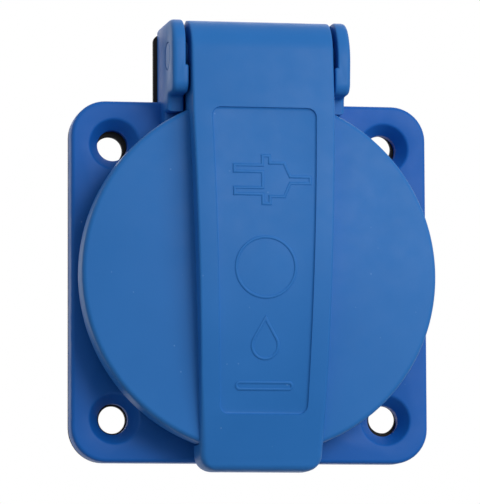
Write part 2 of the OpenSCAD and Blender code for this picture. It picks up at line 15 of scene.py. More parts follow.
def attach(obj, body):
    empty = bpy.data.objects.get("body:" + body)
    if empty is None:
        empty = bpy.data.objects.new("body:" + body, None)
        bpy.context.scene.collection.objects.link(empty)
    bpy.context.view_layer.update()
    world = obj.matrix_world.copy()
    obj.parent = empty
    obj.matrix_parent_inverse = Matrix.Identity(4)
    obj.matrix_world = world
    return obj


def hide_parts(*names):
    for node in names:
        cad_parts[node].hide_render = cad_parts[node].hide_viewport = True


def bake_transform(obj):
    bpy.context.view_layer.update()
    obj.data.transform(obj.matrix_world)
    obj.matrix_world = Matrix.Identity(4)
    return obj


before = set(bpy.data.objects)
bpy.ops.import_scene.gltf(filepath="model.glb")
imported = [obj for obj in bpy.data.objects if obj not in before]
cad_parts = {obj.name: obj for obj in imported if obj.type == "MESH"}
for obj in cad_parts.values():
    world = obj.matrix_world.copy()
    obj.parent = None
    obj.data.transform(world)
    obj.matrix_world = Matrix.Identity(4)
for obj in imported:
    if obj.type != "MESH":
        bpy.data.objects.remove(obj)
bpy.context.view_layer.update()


# Panel gasket: a black rubber sheet between flange and panel, with a tongue behind the hinge.
# Die-cut in one piece and held by the fixing screws. Unscrewed, it has slipped a little at each corner.
def arc(centre, radius, start, stop, steps=12):
    """Points on a circle about centre, from one angle to another in degrees."""
    turn = np.radians(np.linspace(start, stop, steps + 1))
    return np.array(centre) + radius * np.stack([np.cos(turn), np.sin(turn)], 1)


def bore(centre, radius, steps=64):
    """A round hole's outline, run clockwise so that its outward side is the empty one."""
    return arc(centre, radius, 360, 0, steps)[:-1]


def outline(*stretches):
    """One closed outline from arcs and corner points, without the points that repeat."""
    points = np.concatenate([np.atleast_2d(np.array(stretch, float)) for stretch in stretches])
    step = np.linalg.norm(points - np.roll(points, 1, 0), axis=1)
    return points[step > 1e-6]


def outward(loop):
    """Normals on the right of a closed outline: the mean of both edges' normals, lengthened at a corner."""
    edge = np.roll(loop, -1, 0) - loop
    side = np.stack([edge[:, 1], -edge[:, 0]], 1) / np.linalg.norm(edge, axis=1)[:, None]
    before = np.roll(side, 1, 0)
    return (side + before) / (1 + (side * before).sum(1))[:, None]


def round_edge(low, high, low_r, high_r, steps=4):
    """A plate's edge as (inset, height) steps: a quarter round at each face, a straight wall between."""
    turn = np.radians(np.linspace(0, 90, steps + 1))
    foot = np.stack([low_r * (1 - np.sin(turn)), low + low_r * (1 - np.cos(turn))], 1)
    head = np.stack([high_r * (1 - np.cos(turn)), high - high_r * (1 - np.sin(turn))], 1)
    return np.concatenate([foot, head])


def ring_faces(rings, around):
    """Faces of a grid of rings, each closed on itself, counted ring by ring."""
    ring = np.arange(rings - 1)[:, None] * around
    here = np.arange(around)[None]
    after = (here + 1) % around
    quad = [ring + here, ring + after, ring + around + after, ring + around + here]
    return np.stack(quad, -1).reshape(-1, 4)


def fill(points, loops):
    """Triangles of the flat area inside an outer loop, less those that span one of the holes after it."""
    index = np.concatenate(loops)
    starts = np.cumsum([0] + [len(loop) for loop in loops[:-1]])
    edges = np.concatenate([
        start + np.stack([np.arange(len(loop)), np.roll(np.arange(len(loop)), -1)], 1)
        for start, loop in zip(starts, loops)])
    flat = [Vector(point) for point in points[index, :2]]
    found = delaunay_2d_cdt(flat, edges.tolist(), [], 1, 1e-7)
    faces = np.array([origin[0] for origin in found[3]])[np.array(found[2])]
    owner = np.repeat(np.arange(len(loops)), [len(loop) for loop in loops])[faces]
    inside = (owner[:, 0] > 0) & (owner == owner[:, :1]).all(1)
    return index[faces[~inside]].tolist()


def plate(*rims):
    """A flat piece between closed rims. Each rim is an outline carried through an edge of (inset, height)
    steps: a point lies on the outline, moved inwards by the inset, at that height."""
    points, faces, lows, highs, start = [], [], [], [], 0
    for loop, edge in rims:
        rings = loop[None] - edge[:, :1, None] * outward(loop)[None]
        heights = np.broadcast_to(edge[:, 1:, None], rings.shape[:2] + (1,))
        points.append(np.concatenate([rings, heights], 2).reshape(-1, 3))
        faces += (ring_faces(len(edge), len(loop)) + start).tolist()
        lows.append(start + np.arange(len(loop)))
        start += len(loop) * len(edge)
        highs.append(start - len(loop) + np.arange(len(loop)))
    points = np.concatenate(points)
    return points, faces + [face[::-1] for face in fill(points, lows)] + fill(points, highs)


def piece(name, *shapes):
    """One mesh object from drawn shapes, set upright in metres, with doubles merged and faces outwards."""
    points = np.concatenate([shape[0] for shape in shapes])
    starts = np.cumsum([0] + [len(shape[0]) for shape in shapes[:-1]])
    faces = [[corner + start for corner in face]
             for start, shape in zip(starts, shapes) for face in shape[1]]
    mesh = bpy.data.meshes.new(name)
    mesh.from_pydata((points[:, [0, 2, 1]] * [0.001, -0.001, 0.001]).tolist(), [], faces)
    shell = bmesh.new()
    shell.from_mesh(mesh)
    bmesh.ops.remove_doubles(shell, verts=shell.verts, dist=1e-7)
    bmesh.ops.recalc_face_normals(shell, faces=shell.faces)
    shell.to_mesh(mesh)
    shell.free()
    made = bpy.data.objects.new(name, mesh)
    bpy.context.scene.collection.objects.link(made)
    return made


def dress(made, paint, slot, body, *nodes, crease=34):
    """Gives a piece its material, soft shading up to a crease angle, body and replaced nodes; slot is not
    used.
    """
    made.data.materials.clear()
    made.data.materials.append(paint)
    made.data.shade_smooth()
    made.data.set_sharp_from_angle(angle=math.radians(crease))
    if body:
        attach(made, body)
    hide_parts(*nodes)


def finish(name, **sockets):
    """A node material. Values that are the same all over go straight onto its shader's sockets."""
    made = bpy.data.materials.new(name)
    made.use_nodes = True
    shader = made.node_tree.nodes["Principled BSDF"]
    for socket, value in sockets.items():
        shader.inputs[socket.replace("_", " ")].default_value = value
    return made


def add(made, kind, wires=(), **values):
    """Adds a node, sets its inputs by name, and wires (output socket, input name) pairs to it."""
    new = made.node_tree.nodes.new(kind)
    for name, value in values.items():
        new.inputs[name.replace("_", " ")].default_value = value
    for socket, name in wires:
        made.node_tree.links.new(socket, new.inputs[name])
    return new


def onto(made, **wires):
    """Wires node outputs to the shader's sockets."""
    shader = made.node_tree.nodes["Principled BSDF"]
    for name, socket in wires.items():
        made.node_tree.links.new(socket, shader.inputs[name.replace("_", " ")])


def noise(made, scale, detail=2.0, stretch=(1, 1, 1)):
    """Noise on the piece's own coordinates, in cells a metre. The stretch multiplies the scale by axis."""
    place = add(made, "ShaderNodeTexCoord")
    turn = add(made, "ShaderNodeMapping", [(place.outputs["Object"], "Vector")], Scale=stretch)
    cells = add(made, "ShaderNodeTexNoise", [(turn.outputs["Vector"], "Vector")], Scale=scale, Detail=detail)
    return cells.outputs["Fac"]


def ramp(made, socket, *stops):
    """Colours set out along a value as two (place, colour) stops."""
    band = add(made, "ShaderNodeValToRGB", [(socket, "Fac")])
    for element, (place, colour) in zip(band.color_ramp.elements, stops):
        element.position = place
        element.color = (*colour, 1)
    return band.outputs["Color"]


def spread(made, socket, low, high):
    """A noise value spread from its usual range, 0.3 to 0.7, onto low to high."""
    lane = add(made, "ShaderNodeMapRange", [(socket, "Value")],
               From_Min=0.3, From_Max=0.7, To_Min=low, To_Max=high)
    return lane.outputs["Result"]


def grain(made, socket, depth, strength):
    """Small relief from a value: depth in metres, strength from 0 to 1."""
    relief = add(made, "ShaderNodeBump", [(socket, "Height")], Strength=strength, Distance=depth)
    return relief.outputs["Normal"]


black_rubber = finish("black_rubber", Specular_IOR_Level=0.2)
rubber_cloud = noise(black_rubber, 140, 3)
rubber_grain = noise(black_rubber, 5200, 3)
onto(black_rubber,
     Base_Color=ramp(black_rubber, rubber_cloud,
                     (0.35, (0.010, 0.009, 0.009)), (0.7, (0.020, 0.018, 0.017))),
     Roughness=spread(black_rubber, rubber_grain, 0.62, 0.78),
     Normal=grain(black_rubber, rubber_grain, 0.00003, 0.35))

gasket_half, gasket_corner, gasket_t = 24.95, 4.8, 1.0
tongue_half, tongue_top, tongue_r = 13.0, 34.9, 1.0
hole_at, gasket_hole_r, gasket_body_r = 19.0, 1.9, 21.6
corner_at = gasket_half - gasket_corner
gasket_outline = outline(
    arc((corner_at, -corner_at), gasket_corner, -90, 0),
    arc((corner_at, corner_at), gasket_corner, 0, 90),
    (tongue_half, gasket_half),
    arc((tongue_half - tongue_r, tongue_top - tongue_r), tongue_r, 0, 90),
    arc((tongue_r - tongue_half, tongue_top - tongue_r), tongue_r, 90, 180),
    (-tongue_half, gasket_half),
    arc((-corner_at, corner_at), gasket_corner, 90, 180),
    arc((-corner_at, -corner_at), gasket_corner, 180, 270))
gasket_edge = round_edge(0, gasket_t, 0.06, 0.06, 2)
corners = hole_at * np.array([(-1, -1), (-1, 1), (1, -1), (1, 1)])
slips = np.array([(0.1, 0.0), (-0.3, -0.5), (0.2, 0.3), (-0.1, 0.4)])
gasket = piece("rubber_gasket", plate(
    (gasket_outline, gasket_edge),
    (bore((0, 0), gasket_body_r, 128), gasket_edge),
    *[(bore(centre, gasket_hole_r), gasket_edge) for centre in corners + slips]))
dress(gasket, black_rubber, "black_rubber", "housing", "panel_gasket")


# Socket housing: flange, hinge lugs, collar and plug well in one moulding of blue polyamide.
# Its flange lies on the gasket, and the carrier behind is screwed to two bosses under the well's floor.
# Painted shade makes the blue darker and deeper towards the back, under the lid. It has fine grain and pale
# specks.
def across(shape):
    """Turns a plate drawn as a side view, up the panel and towards the user, so that it runs across."""
    return shape[0][:, [2, 0, 1]], shape[1]


def turned(profile, steps=128, closed=False):
    """A profile of (radius, height) points carried once round the plug's axis."""
    turn = np.linspace(0, 2 * np.pi, steps, endpoint=False)[None]
    profile = np.array(profile, float)
    profile = np.concatenate([profile, profile[:1]]) if closed else profile
    radius, height = profile[:, :1], profile[:, 1:]
    grid = np.stack([radius * np.cos(turn), radius * np.sin(turn), height + 0 * turn], 2)
    return grid.reshape(-1, 3), ring_faces(len(profile), steps).tolist()


def carve(solid, joined=(), cut=()):
    """Joins other pieces to a piece, cuts others out of it, and keeps the result as its mesh."""
    for operation, others in (("UNION", joined), ("DIFFERENCE", cut)):
        for other in others:
            step = solid.modifiers.new(operation, "BOOLEAN")
            step.operation = operation
            step.object = other
            step.solver = "EXACT"
    done = bpy.data.meshes.new_from_object(solid.evaluated_get(bpy.context.evaluated_depsgraph_get()))
    solid.modifiers.clear()
    solid.data = done
    for other in (*joined, *cut):
        bpy.data.objects.remove(other)
    return solid


blue_plastic = finish("blue_plastic", Specular_IOR_Level=0.18)
blue_cloud = noise(blue_plastic, 55, 3)
blue_grain = noise(blue_plastic, 4300, 3)
blue_sheen = noise(blue_plastic, 420, 2)
blue_place = add(blue_plastic, "ShaderNodeTexCoord").outputs["Object"]
blue_depth = add(blue_plastic, "ShaderNodeSeparateXYZ", [(blue_place, "Vector")]).outputs["Y"]
# painted shade: a mask by depth turns the blue darker and deeper towards the back, where the lid shades the
# flange
blue_lit_share = add(blue_plastic, "ShaderNodeMapRange", [(blue_depth, "Value")],
                   From_Min=-0.005, From_Max=-0.010).outputs["Result"]
blue_shade_colour = ramp(blue_plastic, blue_cloud, (0.32, (0.008, 0.119, 0.472)), (0.68, (0.012, 0.133, 0.512)))
blue_lit_colour = ramp(blue_plastic, blue_cloud, (0.32, (0.0185, 0.158, 0.488)), (0.68, (0.0245, 0.175, 0.528)))
blue_shaded_tone = add(blue_plastic, "ShaderNodeMixRGB", [
    (blue_lit_share, "Fac"), (blue_shade_colour, "Color1"), (blue_lit_colour, "Color2")]).outputs["Color"]
blue_cells = add(blue_plastic, "ShaderNodeTexVoronoi", [(blue_place, "Vector")], Scale=330)
blue_specks = ramp(blue_plastic, blue_cells.outputs["Distance"], (0.02, (0.5, 0.5, 0.5)), (0.05, (0, 0, 0)))
blue_specks_and_shade = add(blue_plastic, "ShaderNodeMixRGB", [
    (blue_specks, "Fac"), (blue_shaded_tone, "Color1")], Color2=(0.14, 0.33, 0.66, 1)).outputs["Color"]
onto(blue_plastic,
     Base_Color=blue_specks_and_shade,
     Roughness=spread(blue_plastic, blue_sheen, 0.42, 0.50),
     Normal=grain(blue_plastic, blue_grain, 0.00002, 0.22))

flange_half, flange_corner, flange_low, flange_front = 25.0, 4.8, 1.0, 4.3
well_r, body_r, collar_front, floor_front, floor_back, skirt_end = 19.6, 21.3, 9.0, -8.5, -10.9, -13.9
lug_in, lug_out, lug_top, lug_front, lug_under, lug_neck = 10.6, 12.32, 35.65, 14.15, 25.15, 22.99
hinge_y, hinge_z, pin_r, hole_r, lean = 30.6, 9.7, 1.95, 2.15, 0.24

# the flange, with countersunk fixing holes and the base of the hinge
flange_edge = round_edge(flange_low, flange_front, 0.15, 0.55, 6)
corner_at = flange_half - flange_corner
base_half, base_top, base_r, base_fillet = lug_out + 0.75 * lean, lug_top - 0.04, 0.6, 0.3
flange_outline = outline(
    arc((corner_at, -corner_at), flange_corner, -90, 0),
    arc((corner_at, corner_at), flange_corner, 0, 90),
    arc((base_half + base_fillet, flange_half + base_fillet), base_fillet, 270, 180, 4),
    arc((base_half - base_r, base_top - base_r), base_r, 0, 90, 6),
    arc((base_r - base_half, base_top - base_r), base_r, 90, 180, 6),
    arc((-base_half - base_fillet, flange_half + base_fillet), base_fillet, 0, -90, 4),
    arc((-corner_at, corner_at), flange_corner, 90, 180),
    arc((-corner_at, -corner_at), flange_corner, 180, 270))
sink, sink_deep = 1.35, 2.0
soft_mouth = np.array([(-0.16, -0.24), (-0.04, -0.1), (0.1, -0.03), (0.26, 0)])
sink_edge = np.concatenate([
    [(0, flange_low), (0, flange_front - sink_deep)], soft_mouth + [sink, flange_front]])
flange = piece("blue_housing", plate(
    (flange_outline, flange_edge),
    (bore((0, 0), (well_r + body_r) / 2, 128), np.array([(0, flange_low), (0, flange_front)])),
    *[(bore(corner, hole_r), sink_edge) for corner in corners]))

# the collar, the well's wall and the skirt that the carrier plugs into
lip = 0.5
wall = piece("wall", turned(outline(
    (well_r, skirt_end), (body_r, skirt_end), arc((body_r - lip, collar_front - lip), lip, 0, 90, 4),
    arc((well_r + lip, collar_front - lip), lip, 90, 180, 4)), closed=True))

# the well's floor, with holes for the plug's pins and slots for the earth clips
pin_x, pin_hole_r, slot_half, slot_y, slot_t, floor_in = 9.5, 2.7, 3.3, 18.65, 1.1, 0.6
pin_edge = np.array([(0, floor_back), (0, floor_front - 0.6), (0.5, floor_front - 0.1), (0.7, floor_front)])
slot_edge = np.array([(0, floor_back), (0, floor_front)])
slots = [outline((-slot_half, s * slot_y - slot_t), (-slot_half, s * slot_y + slot_t),
                 (slot_half, s * slot_y + slot_t), (slot_half, s * slot_y - slot_t)) for s in (-1, 1)]
floor = piece("floor", plate(
    (arc((0, 0), well_r + floor_in, 0, 360, 128)[:-1], slot_edge),
    *[(bore((s * pin_x, 0), pin_hole_r), pin_edge) for s in (-1, 1)],
    *[(slot, slot_edge) for slot in slots]))

# the two hinge lugs, drafted and crowned outside, each thickened inside by a step below and a web at its top
# (faces that would lie in one plane are set a little proud, so that the pieces join cleanly)
nose_r, chin_r, neck_r, lug_inner_r, lug_outer_r, crown = 4.3, 1.5, 0.5, 0.24, 0.6, 0.11
foot_y, foot_front, lug_root, inner_root = 20.6, 6.9, flange_low + 0.6, flange_low + 0.7
step_y, step_low, step_t, step_r, proud = 28.9, lug_neck + 0.02, 0.4, 0.3, 0.01
web_low, web_top, web_front, web_t, web_r, inner_in = 33.4, lug_top - 0.2, 9.2, 0.62, 0.6, 0.6
step_side = outline(
    (step_low, inner_root), (step_y, inner_root),
    arc((step_y - step_r, lug_front + proud - step_r), step_r, 0, 90, 4),
    arc((lug_under + chin_r, lug_front - chin_r), chin_r + proud, 90, 180, 10),
    arc((lug_under - neck_r - proud, hinge_z + neck_r + proud), neck_r, 0, -90, 4),
    (step_low, hinge_z + proud))
web_side = outline(
    (web_low, inner_root), (web_top, inner_root),
    arc((web_top - web_r, web_front - web_r), web_r, 0, 90, 6), (web_low, web_front))
lugs = []
for side, nose_y in ((-1, 3.8), (1, 5.8)):
    lug_side = outline(
        (foot_y, lug_root), (lug_top, lug_root),
        arc((0, 0), 1, 0, 90, 16) * [nose_y, nose_r] + [lug_top - nose_y, lug_front - nose_r],
        arc((lug_under + chin_r, lug_front - chin_r), chin_r, 90, 180, 10),
        arc((lug_under - neck_r, hinge_z + neck_r), neck_r, 0, -90, 4), (lug_neck, hinge_z),
        (lug_neck, foot_front), (foot_y, foot_front))
    low, high = sorted((side * lug_in, side * lug_out))
    low_r, high_r = (lug_inner_r, lug_outer_r)[::side]
    points, faces = across(plate(
        (lug_side, round_edge(low, high, low_r, high_r)),
        (bore((hinge_y, hinge_z), pin_r), round_edge(low, high, 0.12, 0.12, 2))))
    outer = (np.abs(points[:, 0]) - lug_in) / (lug_out - lug_in)
    forward = (points[:, 2] - flange_low) / (lug_front - flange_low)
    along = np.clip((2 * points[:, 1] - lug_top - lug_under) / (lug_top - lug_under), -1, 1)
    points[:, 0] += side * outer * (lean * (1 - forward) + crown * forward * (1 - along ** 2))
    lugs.append(piece("lug", (points, faces)))
    for name, loop, thickness in (("lug_step", step_side, step_t), ("lug_web", web_side, web_t)):
        low, high = sorted((side * (lug_in - thickness), side * (lug_in + inner_in)))
        points, faces = across(plate((loop, round_edge(low, high, 0.25, 0.25))))
        lugs.append(piece(name, (points, faces)))

# guide ribs in the well, the ledge under the spring and the bosses under the floor
rib_half, rib_tip, rib_front, rib_fade, rib_in = 2.6, 16.8, 3.5, 6.3, 0.5
rib_side = outline(
    (-well_r - rib_in, floor_front - rib_in), (-rib_tip, floor_front - rib_in), (-rib_tip, rib_front),
    (-well_r, rib_fade), (-well_r - rib_in, rib_fade))[::-1]
points, faces = plate((rib_side, round_edge(-rib_half, rib_half, 0.3, 0.3)))
ribs = [piece("rib", (points[:, [0, 2, 1]] * [side, 1, 1], faces)) for side in (-1, 1)]
ledge_half, ledge_low, ledge_top, ledge_back, ledge_front = 6.0, 23.1, 24.7, 3.8, 6.0
ledge_outline = outline(
    (-ledge_half, ledge_low), (ledge_half, ledge_low), (ledge_half, ledge_top), (-ledge_half, ledge_top))
ledge = piece("ledge", plate((ledge_outline, round_edge(ledge_back, ledge_front, 0.1, 0.2))))
boss_at, boss_r, boss_hole_r, boss_back, boss_front = 9.9, 2.7, 1.45, -16.9, floor_back + 0.5
bosses = [piece("boss", plate(
    (arc((place, place), boss_r, 0, 360, 48)[:-1], round_edge(boss_back, boss_front, 0.3, 0.1)),
    (bore((place, place), boss_hole_r, 32), round_edge(boss_back, boss_front, 0.1, 0.1))))
    for place in (-boss_at, boss_at)]
housing = carve(flange, [wall, floor, *lugs, *ribs, ledge, *bosses])
dress(housing, blue_plastic, "blue_plastic", "housing", "socket_housing")


# Hinged lid: cap, strap, finger tab and hinge barrel in one moulding of the same blue polyamide.
# It turns on a pin between the two lugs, and its cap closes over the collar.
# Its strap has a sunk panel with fine raised signs, and a hollow behind it.
def loft(rows, ahead, behind, half, ahead_r, behind_r, steps=5):
    """A closed body from cross sections along y. Each section is a rectangle from behind to ahead in z and
    half wide to both sides, with quarter rounds of ahead_r and behind_r at its four edges."""
    turn = np.radians(np.linspace(0, 90, steps + 1))[None]
    rows, ahead, behind, half = (
        np.array(value, float)[:, None] + 0 * turn for value in (rows, ahead, behind, half))
    top, low = np.minimum(ahead_r, (ahead - behind) / 2.2), np.minimum(behind_r, (ahead - behind) / 2.2)
    right_x, right_z = half - top + top * np.cos(turn), ahead - top + top * np.sin(turn)
    left_x, left_z = half - low + low * np.sin(turn), behind + low - low * np.cos(turn)
    ring_x = np.concatenate([right_x, -right_x[:, ::-1], -left_x[:, ::-1], left_x], 1)
    ring_z = np.concatenate([right_z, right_z[:, ::-1], left_z[:, ::-1], left_z], 1)
    ring_y = np.tile(rows, (1, 4))
    around = ring_x.shape[1]
    points = np.stack([ring_x, ring_y, ring_z], 2).reshape(-1, 3)
    ends = [list(range(around))[::-1], list(range(len(points) - around, len(points)))]
    return points, ring_faces(len(rows), around).tolist() + ends


cap_r, cap_in_r, cap_in_z, cap_front, cap_rim = 24.6, 22.9, 10.2, 12.3, 7.6
cap_edge_r, rim_r, dome, cap_y = 0.7, 0.4, 1.15, 0.48
groove_in, groove_out, groove_mouth, groove_z = 18.85, 22.05, cap_in_z - 1, 11.0
face_r = np.linspace(cap_r - cap_edge_r, 0, 12)
points, faces = turned(outline(
    (0, cap_in_z), (cap_in_r, cap_in_z), arc((cap_in_r + rim_r, cap_rim + rim_r), rim_r, 180, 270, 3),
    arc((cap_r - rim_r, cap_rim + rim_r), rim_r, 270, 360, 3),
    arc((cap_r - cap_edge_r, cap_front - cap_edge_r), cap_edge_r, 0, 90, 9),
    np.stack([face_r, cap_front + dome * (1 - (face_r / face_r[0]) ** 2)], 1)), 192)
cap = piece("blue_lid", (points + [0, cap_y, 0], faces))
groove = piece("groove", turned([
    (groove_in, groove_mouth), (groove_out, groove_mouth), (groove_out, groove_z), (groove_in, groove_z)],
    closed=True))

# the strap: a bow over the cap, from the finger tab to the barrel about the hinge pin
bow_y, bow_r, bow_top, bow_from = 6.0, 117.0, 16.695, 20.0
barrel_r, strap_half, tab_half, taper_y, strap_end = 4.95, 9.85, 8.4, 22.5, -26.5
tab_edge_r, tab_corner_r, tab_back, root_y, root_z = 1.1, 2.2, 7.1, 22.9, 11.25
slope = (strap_half - tab_half) / (taper_y - strap_end)


def bow(y):
    """Front of the strap's bow at a height up the panel."""
    return bow_top - bow_r + np.sqrt(bow_r ** 2 - (y - bow_y) ** 2)


def half_width(y):
    """Half of the strap's width: straight at the hinge, tapered below, round at the tab's corners."""
    sides = strap_half - slope * np.maximum(taper_y - y, 0)
    past = np.maximum(strap_end + tab_corner_r - y, 0)
    return sides - tab_corner_r + np.sqrt(np.maximum(tab_corner_r ** 2 - past ** 2, 0))


to_hinge = np.array([hinge_y - bow_from, bow(bow_from) - hinge_z])
touch = math.atan2(to_hinge[1], -to_hinge[0]) - math.acos(barrel_r / np.linalg.norm(to_hinge))
line_y, line_z = hinge_y + barrel_r * math.cos(touch), hinge_z + barrel_r * math.sin(touch)


def strap_front(y):
    """Front of the strap: the bow, a straight run that leaves it above the panel, then round the barrel."""
    run = bow(bow_from) + (line_z - bow(bow_from)) * (y - bow_from) / (line_y - bow_from)
    barrel = hinge_z + np.sqrt(np.maximum(barrel_r ** 2 - (y - hinge_y) ** 2, 0))
    return np.where(y < bow_from, bow(np.minimum(y, bow_from)), np.where(y < line_y, run, barrel))


tab_turn = np.radians(np.linspace(0, 90, 9))
tab_y = strap_end + tab_edge_r * (1 - np.cos(tab_turn))
tab_drop = tab_edge_r * (1 - np.sin(tab_turn))
tab_rows = np.linspace(strap_end + tab_edge_r, -root_y, 5)[1:]
bow_rows = np.linspace(-root_y, root_y, 61)
meet_turn = math.atan2(-0.8, 0.6)
meet_y, meet_z = hinge_y + barrel_r * math.sin(meet_turn), hinge_z - barrel_r * math.cos(meet_turn)
neck_rows = np.linspace(root_y, meet_y, 5)
barrel_turn = np.radians(np.linspace(math.degrees(meet_turn), 87, 40))[1:]
rows = np.concatenate([tab_y, tab_rows, bow_rows, neck_rows, hinge_y + barrel_r * np.sin(barrel_turn)])
behind = np.concatenate([
    tab_back + tab_drop,
    np.full(len(tab_rows), tab_back),
    np.full(len(bow_rows), root_z),
    np.linspace(cap_rim, meet_z, 5),
    hinge_z - barrel_r * np.cos(barrel_turn)])
ahead = np.concatenate([bow(tab_y[-1]) - tab_drop, strap_front(rows[len(tab_y):])])
strap_side_r, tab_side_r, soften_from, soften_to = 0.35, 0.9, -14.0, -23.0
soften = np.clip((rows - soften_from) / (soften_to - soften_from), 0, 1)[:, None]
side_r = strap_side_r + (tab_side_r - strap_side_r) * soften
strap = piece("strap", loft(rows, ahead, behind, half_width(rows), side_r, 0.3))

# the sunk panel on the strap, whose floor runs up to its rim in a hollow round
panel_top, panel_low, panel_in, panel_r, panel_sink, cove = 23.0, -18.9, 2.55, 1.3, 0.32, 0.28
panel_turn = np.radians(np.linspace(0, 90, 9))
panel_round = panel_r * (1 - np.cos(panel_turn))
panel_rows = np.concatenate([
    panel_low + panel_round,
    np.linspace(panel_low + panel_r, panel_top - panel_r, 58)[1:-1],
    panel_top - panel_round[::-1]])
panel_end = np.minimum(panel_rows - panel_low, panel_top - panel_rows)
panel_corner = np.sqrt(np.maximum(panel_r ** 2 - np.maximum(panel_r - panel_end, 0) ** 2, 0))
panel_half = half_width(panel_rows) - panel_in - panel_r + panel_corner
panel_rise = cove - np.sqrt(cove ** 2 - np.maximum(cove - panel_end, 0) ** 2)
panel_floor = strap_front(panel_rows) - panel_sink + panel_rise
panel_cut = piece("panel_cut", loft(panel_rows, panel_floor + 3, panel_floor, panel_half, 0.1, cove))

# the hollow behind the panel, the room for the spring and the pin's bore
hollow_end, hollow_r, hollow_side, hollow_back, skin = 17.4, 17.45, 5.9, 9.0, 2.0
hollow_rows = np.linspace(-hollow_end, hollow_end, 60)
hollow_half = np.minimum(hollow_side, np.sqrt(np.maximum(hollow_r ** 2 - hollow_rows ** 2, 0)))
hollow_roof = bow(hollow_rows) - panel_sink - skin
hollow_mouth = np.full(len(hollow_rows), hollow_back)
hollow = piece("hollow", loft(hollow_rows, hollow_roof, hollow_mouth, hollow_half, 0.5, 0.1))
room_x, room_r, pin_play = 5.0, 3.4, 0.05
straight = np.array([(0, -room_x), (0, room_x)])
room = piece("room", across(plate((arc((hinge_y, hinge_z), room_r, 0, 360, 64)[:-1], straight))))
room_back = piece("room_back", across(plate((np.array([hinge_y, hinge_z]) + outline(
    (0, 0), (-2.6, 1.6), (-5.75, 1.6), (-5.75, -5.95), (5.95, -5.95), (5.95, -1)), straight))))
pin_bore = piece("pin_bore", across(plate((
    arc((hinge_y, hinge_z), pin_r + pin_play, 0, 360, 64)[:-1], 3 * straight))))


def ridge(loop):
    """A fine raised line along a closed outline: a low arch, carried along it on the panel's floor."""
    half, height = 0.22, 0.15
    section = arc((0, -0.2), 1, -10, 190, 8) * [half, height]
    rings = loop[None] + section[:, :1, None] * outward(loop)[None]
    heights = strap_front(rings[..., 1]) - panel_sink + section[:, 1:]
    points = np.concatenate([rings, heights[..., None]], 2)
    closed = np.concatenate([points, points[:1]])
    return closed.reshape(-1, 3), ring_faces(len(closed), len(loop)).tolist()


# a plug seen from the side, a ring, a drop and a bar
plug_y, ring_y, drop_y, bar_y = 12.95, 1.0, -9.6, -15.05
half_plug = np.array([
    (6.2, 0.45), (3.4, 0.45), (2.6, 2.3), (0.6, 2.3), (0.6, 3.3), (-0.4, 3.3), (-0.4, 2.0),
    (-4.3, 2.0), (-4.3, 1.1), (-0.4, 1.1)])
plug_sign = outline(half_plug + [0, plug_y], half_plug[::-1] * [1, -1] + [0, plug_y])[::-1]
ring_r, drop_r, drop_tip, bar_half, bar_r = 4.1, 1.8, 3.7, 3.4, 0.45
ring_sign = arc((0, ring_y), ring_r, 0, 360, 72)[:-1]
drop_sign = outline(arc((0, drop_y), drop_r, -210, 30, 24), (0, drop_y + drop_tip))
bar_sign = outline(arc((bar_half, bar_y), bar_r, -90, 90, 8), arc((-bar_half, bar_y), bar_r, 90, 270, 8))
signs = [piece("sign", ridge(loop)) for loop in (plug_sign, ring_sign, drop_sign, bar_sign)]
lid = carve(cap, [strap], [panel_cut, hollow, groove, room, room_back, pin_bore])
lid = carve(lid, signs)
dress(lid, blue_plastic, "blue_plastic", "lid", "hinged_lid")


# Lid seal: a black rubber ring pressed into the groove inside the cap.
# Its flat back sits in the groove and its two soft beads meet the collar.
seal_in, seal_out, seal_back = 18.9, 22.0, 11.0
bead_front, bead_r, valley_in, valley_out, valley_z = 9.75, 0.45, 20.05, 20.85, 10.0
seal = piece("rubber_seal", turned(outline(
    (seal_in, seal_back), (seal_out, seal_back), (seal_out, bead_front),
    arc((seal_out - bead_r, bead_front), bead_r, 0, -180, 8), (valley_out, valley_z), (valley_in, valley_z),
    arc((seal_in + bead_r, bead_front), bead_r, 0, -180, 8)), closed=True))
dress(seal, black_rubber, "black_rubber", "lid", "lid_seal")


# Hinge pin: a plain rod of the same blue polyamide, chamfered at its ends.
# It is pressed flush through both lugs.
def about_hinge(shape):
    """Turns a shape made about the plug's axis so that it lies along the hinge."""
    return shape[0][:, [2, 0, 1]] + [0, hinge_y, hinge_z], shape[1]


pin_half, pin_chamfer = 12.43, 0.2
pin = piece("blue_pin", about_hinge(turned(outline(
    (0, -pin_half), (pin_r - pin_chamfer, -pin_half), (pin_r, pin_chamfer - pin_half),
    (pin_r, pin_half - pin_chamfer), (pin_r - pin_chamfer, pin_half), (0, pin_half)), 64)))
dress(pin, blue_plastic, "blue_plastic", "housing", "hinge_pin")


# Closing spring: a torsion spring of drawn steel wire, wound round the hinge pin.
# One leg rests on the housing's ledge and the other is held in the lid, so the coil winds as the lid opens.
spring_steel = finish("spring_steel", Metallic=1.0)
wire_draw = noise(spring_steel, 900, 3, (0.25, 1, 1))
onto(spring_steel,
     Base_Color=ramp(spring_steel, wire_draw, (0.3, (0.50, 0.51, 0.53)), (0.7, (0.62, 0.63, 0.65))),
     Roughness=spread(spring_steel, wire_draw, 0.24, 0.38))

